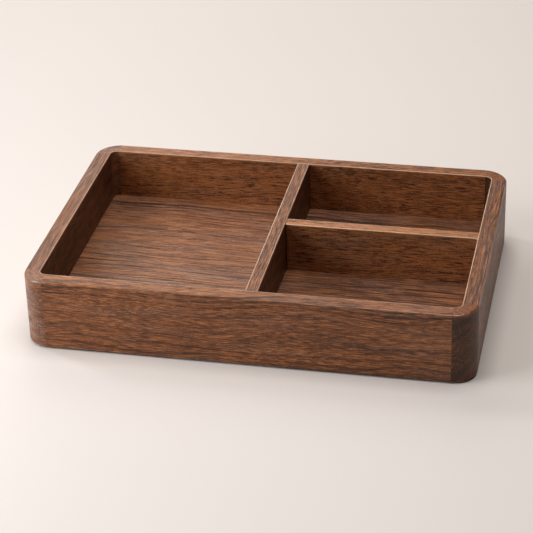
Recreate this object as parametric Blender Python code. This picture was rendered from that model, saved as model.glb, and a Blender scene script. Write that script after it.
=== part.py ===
"""Walnut desk organizer tray with three compartments.

Four rails and four rounded corner blocks make the frame. Loose tongues join them at the corners. A base panel
sits in a groove all round, and two dividers are housed in the rails and in each other. X runs along the long
side, Y points to the back and Z points up. The origin is under the middle of the tray, where its pads rest.
All lengths are in metres.
"""
import math

import bmesh
import bpy

# Outer size of the wooden tray, without its pads
TRAY_LENGTH = 0.265
TRAY_DEPTH = 0.180
WOOD_HEIGHT = 0.044

# Wall, seen in cross-section, and the corner that the same section is turned through
WALL = 0.0095
INNER_CORNER_RADIUS = 0.004
RIM_ROUND = 0.0014
RIM_EASE = 0.0005
BOTTOM_EASE = 0.001

# Base panel, raised above the lower edge of the walls
BASE_THICKNESS = 0.006
BASE_RAISE = 0.006
GROOVE_DEPTH = 0.004

# Dividers: one from front to back, one from it to the right rail
DIVIDER_THICKNESS = 0.0075
MAIN_DIVIDER_X = 0.0031
CROSS_DIVIDER_Y = 0.0046
CROSS_DIVIDER_DROP = 0.0005
DIVIDER_EASE = 0.0005
HOUSING_DEPTH = 0.003
CROSS_HOUSING_DEPTH = 0.0025
HOUSING_STOP = 0.008

# Loose tongues across the seams between rails and corner blocks
TONGUE_THICKNESS = 0.004
TONGUE_HEIGHT = 0.020
TONGUE_LENGTH = 0.016
TONGUE_IN_BLOCK = 0.0055
TONGUE_RAISE = 0.016

# Anti-slip pads, sunk into the underside of the corner blocks
PAD_DIAMETER = 0.0064
PAD_THICKNESS = 0.0019
PAD_SHOWING = 0.001
PAD_ROUND = 0.0004

# Clearance between pieces that touch, and how far a cutter runs past what it cuts
FIT_GAP = 0.0003
CUT_OVERRUN = 0.001

# Steps of the round stretches
ROUND_STEPS = 5
EASE_STEPS = 3
CORNER_STEPS = 10
TONGUE_STEPS = 6
PAD_SIDES = 32
SMOOTH_ANGLE = math.radians(35)

CORNER_RADIUS = WALL + INNER_CORNER_RADIUS
BASE_TOP = BASE_RAISE + BASE_THICKNESS
WALL_MIDDLE = CORNER_RADIUS - WALL / 2
PAD_RECESS = PAD_THICKNESS - PAD_SHOWING + FIT_GAP

# Rails: name, side of the tray as a direction in X and Y, and quarter turns from the front rail
RAILS = (
    ("front_rail", (0, -1), 0),
    ("right_rail", (1, 0), 1),
    ("back_rail", (0, 1), 2),
    ("left_rail", (-1, 0), 3),
)

# Corners: name, side of the tray in X and Y, quarter turns from the front left corner, and the two rails that
# the corner block meets, first the one that runs along the block's own X axis
CORNERS = (
    ("front_left", (-1, -1), 0, ("front_rail", "left_rail")),
    ("front_right", (1, -1), 1, ("right_rail", "front_rail")),
    ("back_right", (1, 1), 2, ("back_rail", "right_rail")),
    ("back_left", (-1, 1), 3, ("left_rail", "back_rail")),
)

# Colours, linear red, green and blue, with roughness
FINISHES = {
    "front_rail": ((0.188, 0.082, 0.036), 0.48),
    "right_rail": ((0.201, 0.120, 0.078), 0.45),
    "back_rail": ((0.175, 0.078, 0.036), 0.50),
    "left_rail": ((0.170, 0.085, 0.045), 0.50),
    "corner_block": ((0.160, 0.082, 0.047), 0.50),
    "base_panel": ((0.210, 0.100, 0.050), 0.52),
    "main_divider": ((0.230, 0.120, 0.068), 0.50),
    "cross_divider": ((0.275, 0.150, 0.088), 0.48),
    "tongue": ((0.610, 0.440, 0.270), 0.60),
    "pad": ((0.035, 0.033, 0.031), 0.85),
}


def arc(centre, radius, start, end, steps):
    """Points of a circular arc in a plane, both ends included, with its angles in degrees."""
    points = []
    for step in range(steps + 1):
        angle = math.radians(start + (end - start) * step / steps)
        points.append((centre[0] + radius * math.cos(angle), centre[1] + radius * math.sin(angle)))
    return points


def finish_mesh(bm, name):
    """Turn a bmesh into a mesh with outward faces that is smooth but for its real edges."""
    bmesh.ops.recalc_face_normals(bm, faces=bm.faces)
    mesh = bpy.data.meshes.new(name)
    bm.to_mesh(mesh)
    bm.free()
    mesh.shade_smooth()
    mesh.set_sharp_from_angle(angle=SMOOTH_ANGLE)
    return mesh


def prism(outline, across, low, high):
    """A bmesh solid: an outline in the plane square to one axis (0, 1, 2 for X, Y, Z), pushed along it."""
    bm = bmesh.new()
    corners = []
    for first, second in outline:
        place = [first, second]
        place.insert(across, low)
        corners.append(bm.verts.new(place))
    face = bm.faces.new(corners)
    raised = bmesh.ops.extrude_face_region(bm, geom=[face])
    shift = [0, 0, 0]
    shift[across] = high - low
    moved = [item for item in raised["geom"] if isinstance(item, bmesh.types.BMVert)]
    bmesh.ops.translate(bm, verts=moved, vec=shift)
    return bm


def box(low, high):
    """A bmesh box between two opposite corners."""
    outline = [(low[0], low[1]), (high[0], low[1]), (high[0], high[1]), (low[0], high[1])]
    return prism(outline, 2, low[2], high[2])


def wall_outline():
    """Cross-section of the wall: distance in from the outer face, and height."""
    groove_low = BASE_RAISE - FIT_GAP
    groove_high = BASE_TOP + FIT_GAP
    groove_back = WALL - GROOVE_DEPTH
    outline = arc((BOTTOM_EASE, BOTTOM_EASE), BOTTOM_EASE, 270, 180, EASE_STEPS)
    outline += arc((RIM_ROUND, WOOD_HEIGHT - RIM_ROUND), RIM_ROUND, 180, 90, ROUND_STEPS)
    outline += arc((WALL - RIM_EASE, WOOD_HEIGHT - RIM_EASE), RIM_EASE, 90, 0, EASE_STEPS)
    outline += [(WALL, groove_high), (groove_back, groove_high), (groove_back, groove_low), (WALL, groove_low)]
    outline += arc((WALL - BOTTOM_EASE, BOTTOM_EASE), BOTTOM_EASE, 0, -90, EASE_STEPS)
    return outline


def rail_mesh(name, length):
    """A straight rail: the wall's section along X, its outer face on Y zero, inwards along +Y."""
    return finish_mesh(prism(wall_outline(), 0, -length / 2, length / 2), name)


def corner_mesh(name):
    """A corner block: the wall's section turned a quarter circle about the Z axis, from -X to -Y."""
    bm = bmesh.new()
    corners = [bm.verts.new((inwards - CORNER_RADIUS, 0, height)) for inwards, height in wall_outline()]
    face = bm.faces.new(corners)
    bmesh.ops.spin(
        bm,
        geom=[face],
        cent=(0, 0, 0),
        axis=(0, 0, 1),
        angle=math.pi / 2,
        steps=CORNER_STEPS,
        use_duplicate=False,
    )
    return finish_mesh(bm, name)


def base_mesh(name):
    """The base panel: a plate with rounded corners that reaches into the groove all round."""
    reach = GROOVE_DEPTH - FIT_GAP
    half_length = TRAY_LENGTH / 2 - WALL + reach
    half_depth = TRAY_DEPTH / 2 - WALL + reach
    radius = INNER_CORNER_RADIUS + reach
    outline = []
    for turn, (side_x, side_y) in enumerate(((1, 1), (-1, 1), (-1, -1), (1, -1))):
        centre = (side_x * (half_length - radius), side_y * (half_depth - radius))
        outline += arc(centre, radius, 90 * turn, 90 * turn + 90, CORNER_STEPS)
    return finish_mesh(prism(outline, 2, BASE_RAISE, BASE_TOP), name)


def divider_mesh(name, across, start, end, start_tenon, end_tenon, top):
    """A divider seen from its side: a board with a housed stub at each lower end and an eased top."""
    bottom = BASE_TOP + FIT_GAP
    shoulder = WOOD_HEIGHT - HOUSING_STOP - FIT_GAP
    outline = [
        (start - start_tenon, bottom),
        (end + end_tenon, bottom),
        (end + end_tenon, shoulder),
        (end, shoulder),
        (end, top),
        (start, top),
        (start, shoulder),
        (start - start_tenon, shoulder),
    ]
    bm = prism(outline, across, -DIVIDER_THICKNESS / 2, DIVIDER_THICKNESS / 2)
    top_edges = []
    for edge in bm.edges:
        ends = [vert.co for vert in edge.verts]
        at_top = all(abs(place.z - top) < FIT_GAP for place in ends)
        if at_top and abs(ends[0][across] - ends[1][across]) < FIT_GAP:
            top_edges.append(edge)
    bmesh.ops.bevel(bm, geom=top_edges, offset=DIVIDER_EASE, segments=EASE_STEPS, profile=0.5, affect="EDGES")
    return finish_mesh(bm, name)


def tongue_mesh(name, clearance):
    """A loose tongue along X with rounded upper and lower edges, or its mortise with a clearance."""
    radius = TONGUE_THICKNESS / 2 + clearance
    reach = TONGUE_HEIGHT / 2 - TONGUE_THICKNESS / 2
    outline = arc((0, reach), radius, 0, 180, TONGUE_STEPS)
    outline += arc((0, -reach), radius, 180, 360, TONGUE_STEPS)
    half_length = TONGUE_LENGTH / 2 + clearance
    return finish_mesh(prism(outline, 0, -half_length, half_length), name)


def disc_mesh(name, radius, low, high, edge_round):
    """An upright round disc, with its lower rim rounded where a radius is given."""
    bm = bmesh.new()
    made = bmesh.ops.create_cone(
        bm,
        cap_ends=True,
        segments=PAD_SIDES,
        radius1=radius,
        radius2=radius,
        depth=high - low,
    )
    bmesh.ops.translate(bm, verts=made["verts"], vec=(0, 0, (low + high) / 2))
    if edge_round:
        middle = (low + high) / 2
        rim = [edge for edge in bm.edges if all(vert.co.z < middle for vert in edge.verts)]
        bmesh.ops.bevel(bm, geom=rim, offset=edge_round, segments=EASE_STEPS, profile=0.5, affect="EDGES")
    return finish_mesh(bm, name)


def add_object(name, mesh, parent, place=(0, 0, 0), turn=0):
    """Put a mesh in the scene under a parent, with a place and a turn about the Z axis."""
    item = bpy.data.objects.new(name, mesh)
    item.parent = parent
    item.location = place
    item.rotation_euler = (0, 0, turn)
    bpy.context.scene.collection.objects.link(item)
    return item


def add_cutter(name, mesh, parent, place=(0, 0, 0), turn=0):
    """Put in a shape that only cuts others."""
    cutter = add_object(name, mesh, parent, place, turn)
    cutter.hide_render = True
    cutter.display_type = "WIRE"
    return cutter


def cut(item, cutter):
    """Take a cutter's shape out of a piece."""
    difference = item.modifiers.new(cutter.name, "BOOLEAN")
    difference.operation = "DIFFERENCE"
    difference.solver = "EXACT"
    difference.object = cutter


def give_finish(item, finish):
    """Give a piece its own material with the colour and roughness of its kind."""
    colour, roughness = FINISHES[finish]
    material = bpy.data.materials.new(item.name)
    material.use_nodes = True
    shader = material.node_tree.nodes["Principled BSDF"]
    shader.inputs["Base Color"].default_value = (*colour, 1)
    shader.inputs["Roughness"].default_value = roughness
    shader.inputs["Metallic"].default_value = 0
    material.diffuse_color = (*colour, 1)
    item.data.materials.append(material)


def add_rails(frame):
    """The four rails, each a little shorter than the space between its corner blocks."""
    rails = {}
    for name, (side_x, side_y), turns in RAILS:
        full_length = TRAY_LENGTH if side_y else TRAY_DEPTH
        length = full_length - 2 * CORNER_RADIUS - 2 * FIT_GAP
        place = (side_x * TRAY_LENGTH / 2, side_y * TRAY_DEPTH / 2, 0)
        rails[name] = add_object(name, rail_mesh(name, length), frame, place, turns * math.pi / 2)
        give_finish(rails[name], name)
    return rails


def add_corner(frame, rails, corner, sides, turns, neighbours):
    """A corner block with its pad, and the two tongues that hold it to its rails."""
    centre = bpy.data.objects.new(corner + "_corner", None)
    bpy.context.scene.collection.objects.link(centre)
    centre.parent = frame
    centre.location = (
        sides[0] * (TRAY_LENGTH / 2 - CORNER_RADIUS),
        sides[1] * (TRAY_DEPTH / 2 - CORNER_RADIUS),
        0,
    )
    centre.rotation_euler = (0, 0, turns * math.pi / 2)

    block_name = corner + "_block"
    block = add_object(block_name, corner_mesh(block_name), centre)
    give_finish(block, "corner_block")

    tongue_shift = TONGUE_LENGTH / 2 - TONGUE_IN_BLOCK
    tongue_middle = TONGUE_RAISE + TONGUE_HEIGHT / 2
    places = (
        ((tongue_shift, -WALL_MIDDLE, tongue_middle), 0),
        ((-WALL_MIDDLE, tongue_shift, tongue_middle), math.pi / 2),
    )
    for rail_name, (place, turn) in zip(neighbours, places):
        tongue_name = f"{corner}_tongue_in_{rail_name}"
        tongue = add_object(tongue_name, tongue_mesh(tongue_name, 0), centre, place, turn)
        give_finish(tongue, "tongue")
        mortise_name = f"{corner}_mortise_in_{rail_name}"
        mortise = add_cutter(mortise_name, tongue_mesh(mortise_name, FIT_GAP), centre, place, turn)
        cut(block, mortise)
        cut(rails[rail_name], mortise)

    diagonal = WALL_MIDDLE * math.sqrt(0.5)
    pad_place = (-diagonal, -diagonal, 0)
    pad_name = corner + "_pad"
    pad_top = PAD_THICKNESS - PAD_SHOWING
    pad_disc = disc_mesh(pad_name, PAD_DIAMETER / 2, -PAD_SHOWING, pad_top, PAD_ROUND)
    pad = add_object(pad_name, pad_disc, centre, pad_place)
    give_finish(pad, "pad")
    recess_name = corner + "_pad_recess"
    recess_disc = disc_mesh(recess_name, PAD_DIAMETER / 2 + FIT_GAP, -CUT_OVERRUN, PAD_RECESS, 0)
    cut(block, add_cutter(recess_name, recess_disc, centre, pad_place))


def add_base(frame):
    """The base panel, which carries whatever lies in the compartments."""
    base = add_object("base_panel", base_mesh("base_panel"), frame)
    give_finish(base, "base_panel")


def add_main_divider(frame, rails):
    """The divider from the front rail to the back rail, and its housings in them."""
    shoulder = TRAY_DEPTH / 2 - WALL - FIT_GAP
    mesh = divider_mesh("main_divider", 0, -shoulder, shoulder, HOUSING_DEPTH, HOUSING_DEPTH, WOOD_HEIGHT)
    divider = add_object("main_divider", mesh, frame, (MAIN_DIVIDER_X, 0, 0))
    give_finish(divider, "main_divider")

    half_width = DIVIDER_THICKNESS / 2 + FIT_GAP
    depth = HOUSING_DEPTH + FIT_GAP
    for side, rail_name in ((-1, "front_rail"), (1, "back_rail")):
        inner_face = side * (TRAY_DEPTH / 2 - WALL)
        low_y, high_y = sorted((inner_face - side * CUT_OVERRUN, inner_face + side * depth))
        low = (-half_width, low_y, BASE_RAISE + BASE_THICKNESS / 2)
        high = (half_width, high_y, WOOD_HEIGHT - HOUSING_STOP)
        name = "main_housing_in_" + rail_name
        cutter = add_cutter(name, finish_mesh(box(low, high), name), frame, (MAIN_DIVIDER_X, 0, 0))
        cut(rails[rail_name], cutter)
    return divider


def add_cross_divider(frame, rails, main_divider):
    """The divider from the main divider to the right rail, and its housings in both."""
    left_face = MAIN_DIVIDER_X + DIVIDER_THICKNESS / 2
    right_face = TRAY_LENGTH / 2 - WALL
    mesh = divider_mesh(
        "cross_divider",
        1,
        left_face + FIT_GAP,
        right_face - FIT_GAP,
        CROSS_HOUSING_DEPTH,
        HOUSING_DEPTH,
        WOOD_HEIGHT - CROSS_DIVIDER_DROP,
    )
    divider = add_object("cross_divider", mesh, frame, (0, CROSS_DIVIDER_Y, 0))
    give_finish(divider, "cross_divider")

    half_width = DIVIDER_THICKNESS / 2 + FIT_GAP
    low_z = BASE_RAISE + BASE_THICKNESS / 2
    high_z = WOOD_HEIGHT - HOUSING_STOP
    spans = (
        (left_face - CROSS_HOUSING_DEPTH - FIT_GAP, left_face + CUT_OVERRUN, main_divider),
        (right_face - CUT_OVERRUN, right_face + HOUSING_DEPTH + FIT_GAP, rails["right_rail"]),
    )
    for low_x, high_x, housed_in in spans:
        name = "cross_housing_in_" + housed_in.name
        housing = finish_mesh(box((low_x, -half_width, low_z), (high_x, half_width, high_z)), name)
        cut(housed_in, add_cutter(name, housing, frame, (0, CROSS_DIVIDER_Y, 0)))


def build_tray():
    """Clear the scene and make every piece of the tray."""
    for item in list(bpy.data.objects):
        bpy.data.objects.remove(item, do_unlink=True)
    frame = bpy.data.objects.new("tray", None)
    bpy.context.scene.collection.objects.link(frame)
    frame.location = (0, 0, PAD_SHOWING)
    rails = add_rails(frame)
    for corner, sides, turns, neighbours in CORNERS:
        add_corner(frame, rails, corner, sides, turns, neighbours)
    add_base(frame)
    main_divider = add_main_divider(frame, rails)
    add_cross_divider(frame, rails, main_divider)


build_tray()
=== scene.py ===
"""The looks of a walnut desk organizer tray: fine wood shapes, oiled finish, light and camera.

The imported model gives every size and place. The rails, corner blocks and dividers are made again with fine
edges and tight seams, and the base panel, tongues and pads keep their solids under a better finish. Every piece
stands in the tray's own place with its object at the origin, so that a point of a texture is a point of the tray.
"""

from math import acos, cos, pi, radians, sin, sqrt

import bmesh
import bpy
from mathutils import Matrix, Vector


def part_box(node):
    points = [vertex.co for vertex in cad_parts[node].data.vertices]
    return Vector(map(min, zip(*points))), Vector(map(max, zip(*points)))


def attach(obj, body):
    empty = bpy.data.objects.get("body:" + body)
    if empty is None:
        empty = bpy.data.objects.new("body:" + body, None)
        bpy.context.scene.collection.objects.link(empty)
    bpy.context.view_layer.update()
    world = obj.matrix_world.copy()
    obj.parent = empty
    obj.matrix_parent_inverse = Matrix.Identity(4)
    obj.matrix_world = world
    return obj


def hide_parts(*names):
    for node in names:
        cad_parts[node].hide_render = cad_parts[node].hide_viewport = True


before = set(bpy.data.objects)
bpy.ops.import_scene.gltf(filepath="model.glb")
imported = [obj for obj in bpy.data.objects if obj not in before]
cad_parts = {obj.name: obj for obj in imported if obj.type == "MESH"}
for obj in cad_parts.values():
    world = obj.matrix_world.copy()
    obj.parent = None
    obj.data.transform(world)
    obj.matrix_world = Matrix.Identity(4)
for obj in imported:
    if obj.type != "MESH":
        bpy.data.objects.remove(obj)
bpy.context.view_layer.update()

MM = 0.001
QUARTER = radians(90)

# Tray, as packed: outer and inner faces of its walls, and its heights
FRONT, INNER_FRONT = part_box("front_rail")[0].y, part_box("front_rail")[1].y
INNER_BACK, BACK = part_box("back_rail")[0].y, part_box("back_rail")[1].y
LEFT, INNER_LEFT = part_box("left_rail")[0].x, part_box("left_rail")[1].x
INNER_RIGHT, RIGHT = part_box("right_rail")[0].x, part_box("right_rail")[1].x
WOOD_BOTTOM, RIM_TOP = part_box("front_rail")[0].z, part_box("front_rail")[1].z
PANEL_LOW, PANEL_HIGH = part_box("base_panel")
MAIN_LOW, MAIN_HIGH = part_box("main_divider")
CROSS_LOW, CROSS_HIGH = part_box("cross_divider")

# Seams between the rails and the corner blocks, half way across the gap that the solids keep
SEAM_X = (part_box("front_rail")[1].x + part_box("front_right_block")[0].x) / 2
SEAM_Y = (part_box("right_rail")[1].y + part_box("back_right_block")[0].y) / 2
OUTER_RADIUS = RIGHT - SEAM_X
INNER_RADIUS = INNER_RIGHT - SEAM_X

# Edges of the walls and dividers: their radii, how wide a strip beside a sharp edge hands have rubbed too, and how
# much they have rubbed a wide round, where a sharp edge has 1. Rubbed edges are painted lighter: wear, and partly a
# painted highlight.
RIM_ROUND = 1.4 * MM
INNER_EASE = 0.5 * MM
BOTTOM_EASE = 1.0 * MM
RUBBED_AND_HIGHLIT_WIDTH = 0.3 * MM
ROUND_RUB_AND_HIGHLIGHT = 0.3

# How much wider the corner blocks' rim is rounded half way round the corner, and how much hands have polished the
# left blocks there, which waxes them and, like a rubbed edge, paints them a little lighter, partly a painted
# highlight
CORNER_SANDING = 0.8 * MM
LEFT_CORNER_POLISH = 0.15

# Joints, closed tight: glue line, coves where a divider meets a wall, the nose that rounds off the cross divider's
# front left corner, and how far below the rim a housing stops
GLUE_LINE = 0.04 * MM
COVE = 0.9 * MM
SHARP_COVE = 0.3 * MM
CROSS_COVE = 1.5 * MM
NOSE = 1.2 * MM
HOUSING_STOP = 8.0 * MM

# How far a socket is cut past the wood, and how close together two points are one
SOCKET_OVERRUN = 1.0 * MM
WELD = 0.0001 * MM

# Steps of the round stretches
EDGE_STEPS = 10
CORNER_STEPS = 28
COVE_STEPS = 8

# Shading: the sharpest bend that is still smooth, and how far the larger faces decide it
SMOOTH_ANGLE = radians(32)
LARGE_FACE_WEIGHT = 100


def linear(colour):
    """Red, green and blue of an sRGB hex colour such as #8A5838, as the linear values that a shader takes."""
    values = [int(colour[k:k + 2], 16) / 255 for k in (1, 3, 5)]
    return [v / 12.92 if v <= 0.04045 else ((v + 0.055) / 1.055) ** 2.4 for v in values] + [1.0]


def node(tree, kind, inputs=None, stops=None, **settings):
    """Add one node. An input takes a value, a socket, or a node, which stands for its first output in use. Stops
    are the places and hex colours of a colour ramp."""
    made = tree.nodes.new(kind)
    for name, value in settings.items():
        setattr(made, name, value)
    for key, value in (inputs or {}).items():
        socket = made.inputs[key] if isinstance(key, int) else next(
            s for s in made.inputs if s.enabled and s.name == key)
        if isinstance(value, bpy.types.Node):
            value = next(s for s in value.outputs if s.enabled)
        if isinstance(value, bpy.types.NodeSocket):
            tree.links.new(value, socket)
        else:
            socket.default_value = value
    if stops:
        elements = made.color_ramp.elements
        while len(elements) < len(stops):
            elements.new(1.0)
        for element, (place, colour) in zip(elements, stops):
            element.position = place
            element.color = linear(colour)
    return made


def new_material(name):
    """An empty material, with its node tree."""
    material = bpy.data.materials.new(name)
    material.use_nodes = True
    material.node_tree.nodes.clear()
    return material, material.node_tree


def drawn_out(tree, place, cell, stretch=1.0, detail=2.0, roughness=0.5):
    """Noise drawn out along the grain, in cells of a length and a width in millimetres, the length stretched."""
    length, width = cell
    cells = node(tree, "ShaderNodeVectorMath", {0: place, 1: (1 / (length * stretch), 1 / width, 1 / width)},
                 operation="MULTIPLY")
    return node(tree, "ShaderNodeTexNoise", {
        "Vector": cells, "Scale": 1.0, "Detail": detail, "Roughness": roughness})


# Cells of the walnut's patterns in millimetres: length along the grain, and width across it. Real fibres and pores
# are 0.1 to 0.2 mm wide, and are drawn 0.3 mm wide so that they still show in a small picture.
BEND_CELL = (80, 30)
BAND_CELL = (70, 5)
STREAK_CELL = (13, 0.36)
FIBRE_CELL = (1, 0.3)
GLINT_CELL = (8, 0.32)
PORE_CELL = (7, 0.3)
WANING_CELL = (90, 12)
GREYING_CELL = (60, 9)

# Shares of a board's sway that its broad figure and its fine grain take. Fine marks that swayed as far would leave
# the face too soon and look short and curly.
FIGURE_SWAY = 2.0
FINE_GRAIN_SWAY = 0.8

# Growth rings: how many spells of lean and fat years a millimetre holds, and how many rings they put the count out by
SPELLS = 0.09
RINGS_OUT = 5.0

# How much lighter a pattern makes the wood. The dark ones are below zero.
BAND_LIGHT = 0.42
STREAK_LIGHT = 0.46
FIBRE_LIGHT = 0.50
GLINT_LIGHT = 0.40
PORE_LIGHT = -0.28
GROWTH_LINE_LIGHT = -0.34

# Lightness of a board of tone 0 before its patterns, and what the fine grain at full strength adds on average. That
# is taken out again, so the tone alone sets how light a board is.
MIDDLE_TONE = 0.42
FINE_GRAIN_MIDDLE = 0.52

# Where the painted shade that makes some boards darker to the right starts and stops
DARKER_FROM = -20 * MM
DARKER_TO = 60 * MM

# Colours of the heartwood from its pores to its glints: warm brown, and the greyer brown of its late growth
WARM_WALNUT = ((0.10, "#23130A"), (0.35, "#502C17"), (0.60, "#804A28"), (0.90, "#BA7846"))
GREY_WALNUT = ((0.10, "#23150F"), (0.35, "#483128"), (0.60, "#735142"), (0.90, "#A67F6A"))
# Colour that rubbed edges are painted towards: wear, and partly a painted highlight
RUBBED_AND_HIGHLIT_WALNUT = "#DDAE88"


def oiled_walnut(name, turn, log_place, tone, hue, figure, rings=1.0, ring_width=7.0, shade=0.0, stretch=1.0,
                 sway=9.0, darker_right=0.0):
    """Black walnut, planed, sanded and oiled: brown with orange glints and dark growth lines, and a satin sheen.

    The board is cut from a log whose heart runs along X at the origin, so the same wood shows long lines on the
    faces along the grain and ring arcs on the end grain.

    turn, log_place      how the board lay in the log, in radians and millimetres
    tone, hue            a higher tone is lighter, and a higher hue is greyer
    figure, rings        how strongly the fine grain and the growth lines show
    ring_width           one year's growth, in millimetres
    shade, darker_right  painted shade: how much darker the upright faces are (lighter below zero), and the right half
    stretch              how many times longer than usual the fine grain is
    sway                 about how far the grain wanders from side to side, in millimetres
    """
    material, tree = new_material(name)
    position = node(tree, "ShaderNodeTexCoord").outputs
    in_log = node(tree, "ShaderNodeMapping", {
        "Vector": position["Object"], "Location": log_place, "Rotation": turn, "Scale": (1 / MM, 1 / MM, 1 / MM)})

    # The grain sways, its broad figure further than its fine marks
    bend = drawn_out(tree, in_log, BEND_CELL, detail=1.0, roughness=0.4)
    swayed, straighter = (
        node(tree, "ShaderNodeVectorMath", {0: bend.outputs["Color"], 1: (0, share * sway, share * sway), 2: in_log},
             operation="MULTIPLY_ADD")
        for share in (FIGURE_SWAY, FINE_GRAIN_SWAY))

    # Growth rings: distance from the heart, with lean and fat years. Dark lines come and go along the board.
    across = node(tree, "ShaderNodeVectorMath", {0: swayed, 1: (0, 1, 1)}, operation="MULTIPLY")
    distance = node(tree, "ShaderNodeVectorMath", {0: across}, operation="LENGTH")
    years = node(tree, "ShaderNodeTexNoise", {"W": distance, "Scale": SPELLS, "Detail": 1.0},
                 noise_dimensions="1D")
    evenly = node(tree, "ShaderNodeMath", {0: distance, 1: ring_width}, operation="DIVIDE")
    ring = node(tree, "ShaderNodeMath", {0: years, 1: RINGS_OUT, 2: evenly}, operation="MULTIPLY_ADD")
    season = node(tree, "ShaderNodeMath", {0: ring, 1: 0.5}, operation="PINGPONG")
    year = node(tree, "ShaderNodeMath", {0: ring}, operation="FLOOR")
    vigour = node(tree, "ShaderNodeTexWhiteNoise", {"W": year}, noise_dimensions="1D")
    strong = node(tree, "ShaderNodeMapRange", {"Value": vigour, "To Min": 0.25})
    late_wood = node(tree, "ShaderNodeMapRange", {
        "Value": season, "From Min": 0.2, "From Max": 0.5}, interpolation_type="SMOOTHSTEP")
    ring_line = node(tree, "ShaderNodeMath", {0: late_wood, 1: strong}, operation="MULTIPLY")
    waning = node(tree, "ShaderNodeMapRange", {
        "Value": drawn_out(tree, swayed, WANING_CELL), "From Min": 0.35, "From Max": 0.6, "To Min": 0.4})
    growth_lines = node(tree, "ShaderNodeMath", {0: ring_line, 1: waning}, operation="MULTIPLY")

    # Broad bands of lighter and darker wood, thin streaks, short fibres, bright glints and dark pores
    bands = drawn_out(tree, swayed, BAND_CELL)
    streaks = drawn_out(tree, straighter, STREAK_CELL, stretch)
    fibres = drawn_out(tree, straighter, FIBRE_CELL, stretch, detail=0.0)
    glints = node(tree, "ShaderNodeMapRange", {
        "Value": drawn_out(tree, straighter, GLINT_CELL, stretch, detail=0.0), "From Min": 0.54, "From Max": 0.64})
    pores = node(tree, "ShaderNodeMapRange", {
        "Value": drawn_out(tree, in_log, PORE_CELL, stretch, detail=0.0), "From Min": 0.56, "From Max": 0.64},
        interpolation_type="SMOOTHSTEP")

    # Painted shade: the upright faces of some boards are darker, or lighter where their shade is below zero, and
    # the right half of some boards is darker
    upward = node(tree, "ShaderNodeSeparateXYZ", {"Vector": position["Normal"]}).outputs["Z"]
    level = node(tree, "ShaderNodeMath", {0: upward}, operation="ABSOLUTE")
    upright = node(tree, "ShaderNodeMath", {0: 1.0, 1: level}, operation="SUBTRACT")
    along_x = node(tree, "ShaderNodeSeparateXYZ", {"Vector": position["Object"]}).outputs["X"]
    right_half = node(tree, "ShaderNodeMapRange", {
        "Value": along_x, "From Min": DARKER_FROM, "From Max": DARKER_TO}, interpolation_type="SMOOTHSTEP")

    # Light and dark added up, painted shade too, then turned to colour, greyer in some bands and in the growth lines
    board_tone = tone + MIDDLE_TONE - FINE_GRAIN_MIDDLE * figure
    depth = node(tree, "ShaderNodeMath", {0: bands, 1: BAND_LIGHT, 2: board_tone}, operation="MULTIPLY_ADD")
    for pattern, light in (
            (streaks, STREAK_LIGHT * figure), (fibres, FIBRE_LIGHT * figure), (glints, GLINT_LIGHT * figure),
            (pores, PORE_LIGHT * figure), (growth_lines, GROWTH_LINE_LIGHT * rings), (upright, -shade),
            (right_half, -darker_right)):
        depth = node(tree, "ShaderNodeMath", {0: pattern, 1: light, 2: depth}, operation="MULTIPLY_ADD")
    warm = node(tree, "ShaderNodeValToRGB", {"Fac": depth}, stops=WARM_WALNUT)
    grey = node(tree, "ShaderNodeValToRGB", {"Fac": depth}, stops=GREY_WALNUT)
    greying = node(tree, "ShaderNodeMapRange", {
        "Value": drawn_out(tree, swayed, GREYING_CELL, detail=1.0),
        "From Min": 0.35, "From Max": 0.65, "To Min": hue - 0.25, "To Max": hue + 0.25})
    late_greying = node(tree, "ShaderNodeMath", {0: growth_lines, 1: 0.5, 2: greying}, operation="MULTIPLY_ADD")
    heartwood = node(tree, "ShaderNodeMix", {"Factor": late_greying, "A": warm, "B": grey}, data_type="RGBA")

    # Edges that hands and sanding have rubbed, painted lighter for wear and partly as a painted highlight: the sharp
    # ones much lighter, the wide rounds hardly
    rubbed_and_highlit = node(tree, "ShaderNodeAttribute", attribute_name="rubbed_and_highlit").outputs["Fac"]
    rub_and_highlight_patches = node(tree, "ShaderNodeMapRange", {"Value": streaks, "From Max": 0.8, "To Max": 0.9})
    worn_and_highlit = node(tree, "ShaderNodeMath", {0: rubbed_and_highlit, 1: 2.0}, operation="POWER")
    rub_and_highlight = node(tree, "ShaderNodeMath", {0: worn_and_highlit, 1: rub_and_highlight_patches}, operation="MULTIPLY")
    colour = node(tree, "ShaderNodeMix", {"Factor": rub_and_highlight, "A": heartwood, "B": linear(RUBBED_AND_HIGHLIT_WALNUT)},
                  data_type="RGBA")

    # Satin oil, duller in the open pores, and a patchy film of wax on every round, polished by hands
    dull = node(tree, "ShaderNodeMapRange", {"Value": streaks, "To Min": 0.38, "To Max": 0.54})
    roughness = node(tree, "ShaderNodeMath", {0: pores, 1: 0.2, 2: dull}, operation="MULTIPLY_ADD")
    polish = node(tree, "ShaderNodeMapRange", {"Value": rubbed_and_highlit, "From Max": ROUND_RUB_AND_HIGHLIGHT})
    wax_patches = node(tree, "ShaderNodeMapRange", {
        "Value": bands, "From Min": 0.4, "From Max": 0.6, "To Min": 0.3})
    wax = node(tree, "ShaderNodeMath", {0: polish, 1: wax_patches}, operation="MULTIPLY")
    hollow = node(tree, "ShaderNodeMath", {0: pores, 1: -1.0, 2: streaks}, operation="MULTIPLY_ADD")
    relief = node(tree, "ShaderNodeBump", {"Height": hollow, "Strength": 0.8, "Distance": 0.05 * MM})
    shader = node(tree, "ShaderNodeBsdfPrincipled", {
        "Base Color": colour, "Roughness": roughness, "Normal": relief, "IOR": 1.5,
        "Specular Tint": linear("#FFF0E6"), "Coat Weight": wax, "Coat Roughness": 0.16, "Coat IOR": 1.6})
    node(tree, "ShaderNodeOutputMaterial", {"Surface": shader})
    return material


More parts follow.
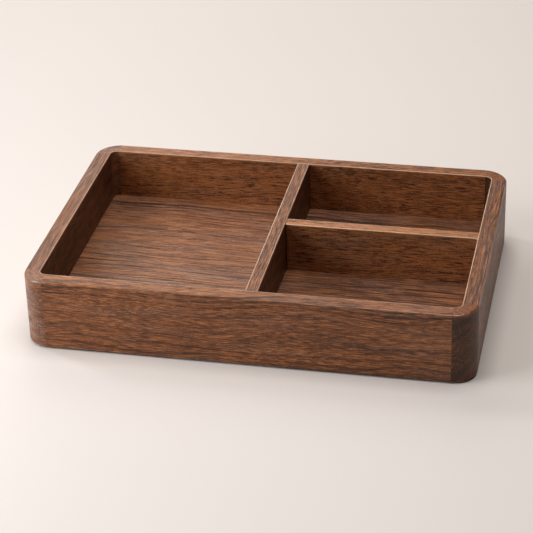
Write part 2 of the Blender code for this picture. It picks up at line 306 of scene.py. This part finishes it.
def sawn_beech():
    """Steamed beech, sawn and left bare: pale pink brown with short darker flecks, and no sheen. The flecks are
    0.5 mm wide and 2.5 mm tall."""
    material, tree = new_material("sawn_steamed_beech")
    position = node(tree, "ShaderNodeTexCoord").outputs["Object"]
    fleck_place = node(tree, "ShaderNodeVectorMath", {
        0: position, 1: (1 / (0.5 * MM), 1 / (0.5 * MM), 1 / (2.5 * MM))}, operation="MULTIPLY")
    flecks = node(tree, "ShaderNodeTexNoise", {"Vector": fleck_place, "Scale": 1.0, "Detail": 2.0})
    colour = node(tree, "ShaderNodeValToRGB", {"Fac": flecks}, stops=(
        (0.30, "#B98B66"), (0.50, "#D0A883"), (0.75, "#DDBB9A")))
    sawn = node(tree, "ShaderNodeBump", {"Height": flecks, "Strength": 0.6, "Distance": 0.06 * MM})
    roughness = node(tree, "ShaderNodeMapRange", {"Value": flecks, "To Min": 0.62, "To Max": 0.78})
    shader = node(tree, "ShaderNodeBsdfPrincipled", {
        "Base Color": colour, "Roughness": roughness, "Normal": sawn, "IOR": 1.5})
    node(tree, "ShaderNodeOutputMaterial", {"Surface": shader})
    return material


def moulded_rubber():
    """Black anti-slip rubber, moulded: charcoal with a fine dusty grain that takes the shine off. The grain is
    0.25 mm wide, and the dust lies in patches of 2 mm."""
    material, tree = new_material("moulded_anti_slip_rubber")
    position = node(tree, "ShaderNodeTexCoord").outputs["Object"]
    grain = node(tree, "ShaderNodeTexNoise", {"Vector": position, "Scale": 1 / (0.25 * MM), "Detail": 2.0})
    dust = node(tree, "ShaderNodeTexNoise", {"Vector": position, "Scale": 1 / (2.0 * MM), "Detail": 3.0})
    colour = node(tree, "ShaderNodeValToRGB", {"Fac": dust}, stops=(
        (0.35, "#262423"), (0.70, "#3B3836")))
    roughness = node(tree, "ShaderNodeMapRange", {"Value": grain, "To Min": 0.70, "To Max": 0.95})
    relief = node(tree, "ShaderNodeBump", {"Height": grain, "Strength": 0.5, "Distance": 0.04 * MM})
    shader = node(tree, "ShaderNodeBsdfPrincipled", {
        "Base Color": colour, "Roughness": roughness, "Normal": relief, "IOR": 1.52})
    node(tree, "ShaderNodeOutputMaterial", {"Surface": shader})
    return material


def drawn_back(below_edge, radius):
    """How far a face has drawn back from flat, at a distance below the edge that is rounded to that radius."""
    if below_edge >= radius:
        return 0.0
    return radius - sqrt(max(0.0, radius ** 2 - (radius - below_edge) ** 2))


def edge_heights(radius):
    """Distances below a rounded edge at which a face needs a line of its own, even steps round the edge."""
    return [radius * (1 - sin(pi / 2 * k / EDGE_STEPS)) for k in range(EDGE_STEPS + 1)]


def rub_and_highlight_left(below_edge, radius):
    """How much hands have rubbed a face at a distance below its eased edge, which is painted lighter for wear and
    partly
    as a painted highlight: all of the edge, then less and less."""
    return min(1.0, max(0.0, 1 - (below_edge - radius) / RUBBED_AND_HIGHLIT_WIDTH))


def rub_and_highlight_of_round(below_edge, radius):
    """How much hands have rubbed a wide round edge at a distance below its top, painted lighter for wear and partly
    as a
    painted highlight: most of all half way round it.
    """
    return ROUND_RUB_AND_HIGHLIGHT * sin(2 * acos(1 - min(below_edge, radius) / radius))


def wall_levels():
    """Section of the walls, from the bottom up: height, how far the outer and the inner face are drawn back,
    and how much each is rubbed, which paints it lighter for wear and partly as a painted highlight."""
    levels = []
    for below in reversed(edge_heights(BOTTOM_EASE)):
        back = drawn_back(below, BOTTOM_EASE)
        levels.append((WOOD_BOTTOM + below, back, back, rub_and_highlight_of_round(below, BOTTOM_EASE), 0.0))
    groove_depth = PANEL_HIGH.x - INNER_RIGHT + GLUE_LINE
    for height, depth in (
            (PANEL_LOW.z - GLUE_LINE, 0.0), (PANEL_LOW.z - GLUE_LINE, groove_depth),
            (PANEL_HIGH.z + GLUE_LINE, groove_depth), (PANEL_HIGH.z + GLUE_LINE, 0.0)):
        levels.append((height, 0.0, depth, 0.0, 0.0))
    near_rim = {INNER_EASE + RUBBED_AND_HIGHLIT_WIDTH}
    near_rim.update(edge_heights(RIM_ROUND), edge_heights(RIM_ROUND + CORNER_SANDING), edge_heights(INNER_EASE))
    for below in sorted(near_rim, reverse=True):
        levels.append((RIM_TOP - below, drawn_back(below, RIM_ROUND), drawn_back(below, INNER_EASE),
                       rub_and_highlight_of_round(below, RIM_ROUND), rub_and_highlight_left(below, INNER_EASE)))
    levels.append((RIM_TOP, RIM_ROUND + RUBBED_AND_HIGHLIT_WIDTH, INNER_EASE + RUBBED_AND_HIGHLIT_WIDTH, 0.0, 0.0))
    return levels


def divider_levels(top):
    """Section of a divider, from the base panel up: height, how far its long faces are drawn back, how much they
    are rubbed, which paints them lighter for wear and partly as a painted highlight, and whether its ends still reach
    into their housings."""
    stop = RIM_TOP - HOUSING_STOP
    levels = [(PANEL_HIGH.z + GLUE_LINE, 0.0, 0.0, True), (stop, 0.0, 0.0, True), (stop, 0.0, 0.0, False)]
    for below in [INNER_EASE + RUBBED_AND_HIGHLIT_WIDTH] + edge_heights(INNER_EASE):
        levels.append((top - below, drawn_back(below, INNER_EASE), rub_and_highlight_left(below, INNER_EASE), False))
    levels.append((top, INNER_EASE + RUBBED_AND_HIGHLIT_WIDTH, 0.0, False))
    return levels


def stack(name, layers):
    """A closed solid from layers, the lowest first. Each has a height and a loop of (x, y, rubbed), where rubbed is
    how much a point is painted lighter for wear and partly as a painted highlight.
    """
    solid = bmesh.new()
    rubbed_and_highlit = solid.verts.layers.float.new("rubbed_and_highlit")
    rings = []
    for height, loop in layers:
        ring = []
        for x, y, rub_and_highlight in loop:
            corner = solid.verts.new((x, y, height))
            corner[rubbed_and_highlit] = rub_and_highlight
            ring.append(corner)
        rings.append(ring)
    for lower, upper in zip(rings, rings[1:]):
        for k, corner in enumerate(lower):
            after = (k + 1) % len(lower)
            solid.faces.new((corner, lower[after], upper[after], upper[k]))
    solid.faces.new(reversed(rings[0]))
    solid.faces.new(rings[-1])
    bmesh.ops.remove_doubles(solid, verts=solid.verts, dist=WELD)
    bmesh.ops.recalc_face_normals(solid, faces=solid.faces)
    return new_piece(name, solid)


def new_piece(name, solid):
    """Turn a bmesh into an object of the scene."""
    mesh = bpy.data.meshes.new(name)
    solid.to_mesh(mesh)
    solid.free()
    piece = bpy.data.objects.new(name, mesh)
    bpy.context.scene.collection.objects.link(piece)
    return piece


def rail(name, outer, inner, end, along_y):
    """A rail: the wall's section pushed from one corner block to the next."""
    inward = 1 if inner > outer else -1
    layers = []
    for height, out, inn, rub_and_highlight_out, rub_and_highlight_in in wall_levels():
        outside, inside = outer + inward * out, inner - inward * inn
        loop = [(-end, outside, rub_and_highlight_out), (end, outside, rub_and_highlight_out), (end, inside, rub_and_highlight_in), (-end, inside, rub_and_highlight_in)]
        if along_y:
            loop = [(across, along, rub_and_highlight) for along, across, rub_and_highlight in loop]
        layers.append((height, loop))
    return stack(name, layers)


def corner_block(name, side_x, side_y, polish):
    """Corner block: the wall's section turned through a quarter. Half way round, more is sanded off the rim, and
    the outer face is polished, which also paints it a little lighter, partly as a painted highlight."""
    layers = []
    for height, out, inn, rub_and_highlight_out, rub_and_highlight_in in wall_levels():
        below = RIM_TOP - height
        outside, inside = [], []
        for k in range(CORNER_STEPS + 1):
            angle = pi / 2 * k / CORNER_STEPS
            sanding = CORNER_SANDING * sin(2 * angle)
            off, rub_and_highlight = out, rub_and_highlight_out
            if below == 0:
                off = out + sanding
            elif below < RIM_ROUND + CORNER_SANDING:
                off, rub_and_highlight = drawn_back(below, RIM_ROUND + sanding), rub_and_highlight_of_round(below, RIM_ROUND + sanding)
            rub_and_highlight = max(rub_and_highlight, polish * sin(2 * angle))
            for face, radius, wear_and_highlight in (
                    (outside, OUTER_RADIUS - off, rub_and_highlight), (inside, INNER_RADIUS + inn, rub_and_highlight_in)):
                face.append((side_x * (SEAM_X + radius * cos(angle)),
                             side_y * (SEAM_Y + radius * sin(angle)), wear_and_highlight))
        layers.append((height, outside + inside[::-1]))
    return stack(name, layers)


def divider_corner(end, forth, face, inward, cove, inset, reach, rub_and_highlight):
    """Corner of a divider's outline as (along, across, rubbed), rubbed being painted lighter for wear and partly as a
    painted highlight: the tip and the root of what sits in the housing,
    then the cove, to where the long face starts. A cove below zero is a nose: the corner is rounded off instead.
    The signs forth and inward say which way the divider lies from this end and from this face."""
    points = []
    if cove < 0:
        root = face - inward * cove
        radius = -cove - inset
        for k in range(COVE_STEPS + 1):
            angle = pi / 2 * k / COVE_STEPS
            points.append((end - forth * (cove + radius * cos(angle)), root - inward * radius * sin(angle), rub_and_highlight))
    else:
        radius = cove + inset
        start = face + inward * (sqrt(radius ** 2 - cove ** 2) - cove)
        root = max(inward * face, inward * start) * inward
        least = acos(cove / radius)
        for k in range(COVE_STEPS + 1):
            angle = least + (pi / 2 - least) * k / COVE_STEPS
            points.append((end + forth * (cove - radius * cos(angle)),
                           face + inward * (radius * sin(angle) - cove), rub_and_highlight))
    return [(end - forth * reach, root, 0.0), (end, root, rub_and_highlight)] + points


def divider(name, ends, faces, coves, reach, levels, along_y):
    """A divider between two walls, with a cove at each of its four corners: at the first end its low and high
    face, then at the second end."""
    layers = []
    for height, inset, rub_and_highlight, housed in levels:
        into = reach if housed else 0.0
        loop = divider_corner(ends[0], 1, faces[0], 1, coves[0], inset, into, rub_and_highlight)
        loop += divider_corner(ends[1], -1, faces[0], 1, coves[2], inset, into, rub_and_highlight)[::-1]
        loop += divider_corner(ends[1], -1, faces[1], -1, coves[3], inset, into, rub_and_highlight)
        loop += divider_corner(ends[0], 1, faces[1], -1, coves[1], inset, into, rub_and_highlight)[::-1]
        if along_y:
            loop = [(across, along, rub_and_highlight) for along, across, rub_and_highlight in loop]
        layers.append((height, loop))
    return stack(name, layers)


def cut_sockets(piece, sockets):
    """Take boxes of air out of a piece, each given by its lowest and highest corner."""
    for low, high in sockets:
        middle, size = (low + high) / 2, high - low
        air = bmesh.new()
        bmesh.ops.create_cube(air, size=1.0, matrix=Matrix.Translation(middle) @ Matrix.Diagonal(size.to_4d()))
        cutter = new_piece("cutter", air)
        cut = piece.modifiers.new("socket", "BOOLEAN")
        cut.operation = "DIFFERENCE"
        cut.solver = "EXACT"
        cut.object = cutter
        settle(piece)
        bpy.data.objects.remove(cutter)


def settle(piece):
    """Put what a piece's modifiers make into its mesh, and take them off."""
    bpy.context.view_layer.update()
    shaped = bpy.data.meshes.new_from_object(piece.evaluated_get(bpy.context.evaluated_depsgraph_get()))
    piece.modifiers.clear()
    worn_out = piece.data
    piece.data = shaped
    bpy.data.meshes.remove(worn_out)


def tongue_sockets(name_starts, name_ends):
    """Sockets for the tongues whose names start and end that way, a glue line larger than the tongues."""
    room = Vector((GLUE_LINE,) * 3)
    return [(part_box(name)[0] - room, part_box(name)[1] + room) for name in sorted(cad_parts)
            if name.startswith(name_starts) and name.endswith(name_ends) and "_tongue_in_" in name]


def housing(low, high):
    """Housing for a divider's end: open to the groove below it and stopped below the rim."""
    room = Vector((GLUE_LINE,) * 3)
    low = Vector((min(low[0], high[0]), min(low[1], high[1]), PANEL_LOW.z + SOCKET_OVERRUN))
    high = Vector((max(low[0], high[0]), max(low[1], high[1]), RIM_TOP - HOUSING_STOP))
    return low - room, high + room


def dress(piece, material, slot, *nodes):
    """Give a finished piece its material and smooth rounds, and let it ride in place of its solids."""
    piece.data.materials.clear()
    piece.data.materials.append(material)
    piece.data.shade_smooth()
    piece.data.set_sharp_from_angle(angle=SMOOTH_ANGLE)
    even = piece.modifiers.new("flat_faces_stay_flat", "WEIGHTED_NORMAL")
    even.keep_sharp = True
    even.weight = LARGE_FACE_WEIGHT
    settle(piece)
    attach(piece, "root")
    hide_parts(*nodes)


def redress(node_name, material):
    """Put a better material on a solid that stays as packed."""
    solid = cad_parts[node_name].data
    solid.materials.clear()
    solid.materials.append(material)


# The boards, each cut from its own place in the log, one for both left and one for both right corner blocks. A
# quarter turn lays the grain of the side rails and the main divider along Y, and the corner blocks' grain slants.
# Their shade and darker_right values are painted shade.
front_board = oiled_walnut("oiled_walnut_front_board", (0, 0, radians(-1)), (0, 125, 62), tone=0.05, hue=0.0,
                           figure=0.75, rings=1.1, ring_width=11.0, shade=0.04, darker_right=0.04)
back_board = oiled_walnut("oiled_walnut_back_board", (0, 0, radians(1)), (420, -30, 70), tone=0.10, hue=-0.1,
                          figure=1.4, shade=-0.11, darker_right=0.09)
left_board = oiled_walnut("oiled_walnut_left_board", (0, 0, -QUARTER), (900, -60, 25), tone=-0.03, hue=0.2,
                          figure=0.6, rings=0.6, shade=0.17, stretch=1.6, sway=6.0)
right_board = oiled_walnut("oiled_walnut_right_board", (0, 0, -QUARTER), (1400, 190, 30), tone=-0.07, hue=0.35,
                           figure=0.75, rings=0.6, stretch=1.6, sway=6.0)
left_blocks = oiled_walnut("oiled_walnut_left_corner_blocks", (0, radians(10), 0), (1800, 60, 90), tone=0.0,
                           hue=0.4, figure=0.6, rings=0.8, ring_width=5.0)
right_blocks = oiled_walnut("oiled_walnut_right_corner_blocks", (0, radians(25), 0), (2300, 40, 75), tone=-0.03,
                            hue=-0.3, figure=0.6, rings=0.6, shade=0.30)
panel_board = oiled_walnut("oiled_walnut_panel_board", (0, 0, radians(1)), (2100, 150, 30), tone=0.06,
                           hue=0.4, figure=0.85, rings=1.5, ring_width=10.0, stretch=2.0, sway=6.0,
                           darker_right=0.13)
main_board = oiled_walnut("oiled_walnut_main_divider_board", (0, 0, -QUARTER), (2600, 40, 30), tone=-0.11,
                          hue=-0.3, figure=0.85, rings=0.6, shade=0.12, stretch=1.6, sway=6.0)
cross_board = oiled_walnut("oiled_walnut_cross_divider_board", (0, 0, 0), (3100, 35, 55), tone=0.39, hue=0.1,
                           figure=1.8, shade=0.13)
beech = sawn_beech()
rubber = moulded_rubber()

# Front and back rails, with housings for the main divider
main_reach = INNER_FRONT - MAIN_LOW.y
for name, outer, inner, tip, board in (("front_rail", FRONT, INNER_FRONT, MAIN_LOW.y, front_board),
                                       ("back_rail", BACK, INNER_BACK, MAIN_HIGH.y, back_board)):
    piece = rail("walnut_" + name, outer, inner, SEAM_X - GLUE_LINE, along_y=False)
    inside = inner + (SOCKET_OVERRUN if inner > outer else -SOCKET_OVERRUN)
    cut_sockets(piece, tongue_sockets("", "_in_" + name)
                + [housing((MAIN_LOW.x, tip), (MAIN_HIGH.x, inside))])
    dress(piece, board, "walnut_rails", name)

# Side rails, the right one with a housing for the cross divider
for name, outer, inner, board in (("left_rail", LEFT, INNER_LEFT, left_board),
                                  ("right_rail", RIGHT, INNER_RIGHT, right_board)):
    piece = rail("walnut_" + name, outer, inner, SEAM_Y - GLUE_LINE, along_y=True)
    sockets = tongue_sockets("", "_in_" + name)
    if name == "right_rail":
        sockets.append(housing((INNER_RIGHT - SOCKET_OVERRUN, CROSS_LOW.y), (CROSS_HIGH.x, CROSS_HIGH.y)))
    cut_sockets(piece, sockets)
    dress(piece, board, "walnut_rails", name)

# Corner blocks
for corner, side_x, side_y, board, polish in (
        ("front_left", -1, -1, left_blocks, LEFT_CORNER_POLISH), ("front_right", 1, -1, right_blocks, 0.0),
        ("back_right", 1, 1, right_blocks, 0.0), ("back_left", -1, 1, left_blocks, LEFT_CORNER_POLISH)):
    piece = corner_block("walnut_" + corner + "_block", side_x, side_y, polish)
    cut_sockets(piece, tongue_sockets(corner, "_rail"))
    dress(piece, board, "walnut_corner_blocks", corner + "_block")

# Dividers: the main one in the front and back rails, the cross one in it and the right rail
main = divider("walnut_main_divider", (INNER_FRONT + GLUE_LINE, INNER_BACK - GLUE_LINE),
               (MAIN_LOW.x, MAIN_HIGH.x), (COVE, SHARP_COVE, COVE, SHARP_COVE), main_reach,
               divider_levels(RIM_TOP), along_y=True)
cut_sockets(main, [housing((CROSS_LOW.x, CROSS_LOW.y + NOSE), (MAIN_HIGH.x + SOCKET_OVERRUN, CROSS_HIGH.y))])
dress(main, main_board, "walnut_dividers", "main_divider")

cross = divider("walnut_cross_divider", (MAIN_HIGH.x + GLUE_LINE, INNER_RIGHT - GLUE_LINE),
                (CROSS_LOW.y, CROSS_HIGH.y), (-NOSE, SHARP_COVE, CROSS_COVE, SHARP_COVE),
                MAIN_HIGH.x - CROSS_LOW.x, divider_levels(CROSS_HIGH.z), along_y=False)
dress(cross, cross_board, "walnut_dividers", "cross_divider")

# Solids that stay
redress("base_panel", panel_board)
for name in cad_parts:
    if "_tongue_in_" in name:
        redress(name, beech)
    if name.endswith("_pad"):
        redress(name, rubber)


def painted_floor():
    """Warm off-white studio paint, rolled on smooth board: matt, with hardly visible patches, 0.3 m wide."""
    material, tree = new_material("matt_off_white_paint")
    position = node(tree, "ShaderNodeTexCoord").outputs["Object"]
    patches = node(tree, "ShaderNodeTexNoise", {"Vector": position, "Scale": 3.0, "Detail": 2.0})
    colour = node(tree, "ShaderNodeValToRGB", {"Fac": patches}, stops=(
        (0.2, "#EBE4E0"), (0.8, "#EDE7E3")))
    shader = node(tree, "ShaderNodeBsdfPrincipled", {
        "Base Color": colour, "Roughness": 0.9, "Specular IOR Level": 0.2})
    node(tree, "ShaderNodeOutputMaterial", {"Surface": shader})
    return material


FLOOR_REACH = 6.0
sheet = bmesh.new()
bmesh.ops.create_grid(sheet, x_segments=1, y_segments=1, size=FLOOR_REACH)
floor = new_piece("studio_floor", sheet)
floor.data.materials.append(painted_floor())


def softbox(name, distance, around, up, width, height, watts, colour):
    """A soft lamp turned to the tray: its distance, its angle round the tray from +X, its angle above it, its size,
    its power and its colour."""
    lamp = bpy.data.lights.new(name, "AREA")
    lamp.shape = "RECTANGLE"
    lamp.size = width
    lamp.size_y = height
    lamp.energy = watts
    lamp.color = linear(colour)[:3]
    place = Vector((cos(up) * cos(around), cos(up) * sin(around), sin(up))) * distance
    holder = bpy.data.objects.new(name, lamp)
    holder.matrix_world = Matrix.Translation(place) @ (-place).to_track_quat("-Z", "Y").to_matrix().to_4x4()
    bpy.context.scene.collection.objects.link(holder)


softbox("ceiling_light", 1.6, 0.0, radians(85), 0.9, 0.9, 14.2, "#FFFAF4")
softbox("window_back_left", 1.6, radians(115), radians(42), 1.1, 0.8, 5.8, "#FFF7EF")
softbox("window_low_back_left", 1.6, radians(110), radians(18), 0.45, 0.35, 2.5, "#FFF7EF")
softbox("window_left", 1.6, radians(160), radians(36), 0.25, 0.3, 4.8, "#FBFBFF")
softbox("lamp_front_left", 0.8, radians(210), radians(42), 0.4, 0.4, 1.6, "#FFFFFF")
softbox("reflector_front_left", 0.8, radians(212), radians(22), 0.5, 0.4, 1.95, "#FFFFFF")

# Pale far walls of the room, seen and mirrored low down, under a dim ceiling. Only the camera's, glossy and
# transmitted rays meet them, so they cast no soft light on the tray.
world = bpy.data.worlds.new("pale_room")
world.use_nodes = True
world.node_tree.nodes.clear()
direction = node(world.node_tree, "ShaderNodeTexCoord").outputs["Generated"]
elevation = node(world.node_tree, "ShaderNodeSeparateXYZ", {"Vector": direction}).outputs["Z"]
walls = node(world.node_tree, "ShaderNodeMapRange", {
    "Value": elevation, "From Min": 0.12, "From Max": 0.25, "To Min": 0.85, "To Max": 0.03})
ray = node(world.node_tree, "ShaderNodeLightPath").outputs
mirrored = node(world.node_tree, "ShaderNodeMath", {0: ray["Is Glossy Ray"], 1: ray["Is Transmission Ray"]},
                operation="MAXIMUM")
shown = node(world.node_tree, "ShaderNodeMath", {0: ray["Is Camera Ray"], 1: mirrored}, operation="MAXIMUM")
strength = node(world.node_tree, "ShaderNodeMath", {0: walls, 1: shown}, operation="MULTIPLY")
backdrop = node(world.node_tree, "ShaderNodeBackground", {"Color": linear("#F0E5DA"), "Strength": strength})
node(world.node_tree, "ShaderNodeOutputWorld", {"Surface": backdrop})
bpy.context.scene.world = world

# Camera, at the photograph's place and angle: a long lens, turned left and down, and tilted a little clockwise
CAMERA_PLACE = (0.22339, -1.04038, 0.62364)
CAMERA_TURN, CAMERA_DIP, CAMERA_TILT = radians(12.397), radians(29.761), radians(-1.719)
FOCAL_LENGTH_MM, SENSOR_WIDTH_MM = 135.71, 36
NEAREST_SEEN = 0.05
lens = bpy.data.cameras.new("studio_camera")
lens.lens = FOCAL_LENGTH_MM
lens.sensor_width = SENSOR_WIDTH_MM
lens.clip_start = NEAREST_SEEN
camera = bpy.data.objects.new("studio_camera", lens)
camera.matrix_world = (Matrix.Translation(CAMERA_PLACE) @ Matrix.Rotation(CAMERA_TURN, 4, "Z")
                       @ Matrix.Rotation(QUARTER - CAMERA_DIP, 4, "X")
                       @ Matrix.Rotation(CAMERA_TILT, 4, "Z"))
bpy.context.scene.collection.objects.link(camera)
bpy.context.scene.camera = camera
bpy.context.scene.view_settings.view_transform = "Standard"
